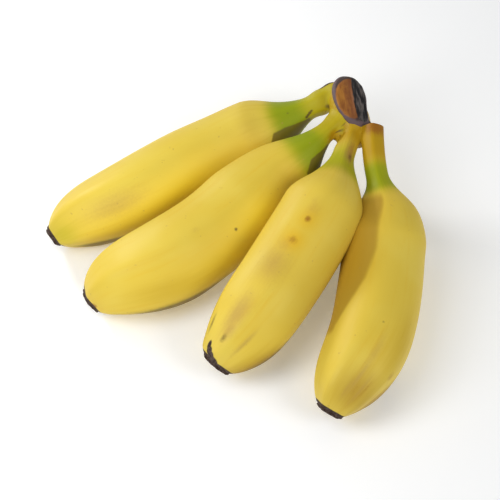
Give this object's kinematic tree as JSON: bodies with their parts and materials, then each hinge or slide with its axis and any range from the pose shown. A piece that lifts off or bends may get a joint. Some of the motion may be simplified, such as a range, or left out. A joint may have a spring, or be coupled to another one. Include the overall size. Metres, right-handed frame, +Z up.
{
  "type": "hand of bananas",
  "caption": "Hand of small ripe bananas joined at a cut crown, lying on its bellies with the crown raised; a natural fruit for still scenes, baskets and kitchens.",
  "frame": {"origin": "middle of the bounding box at the height of the surface the hand rests on", "axes": "+Z up; the fingers point towards -Y and fan out along X; the crown is at +Y"},
  "size_m": [0.1586, 0.1392, 0.045],
  "materials": {
    "banana_peel": "satin, waxy yellow peel, green at the stalks, dark brown crown and blossom scars"
  },
  "bodies": {
    "root": {"banana_hand": "banana_peel"}
  },
  "joints": []
}
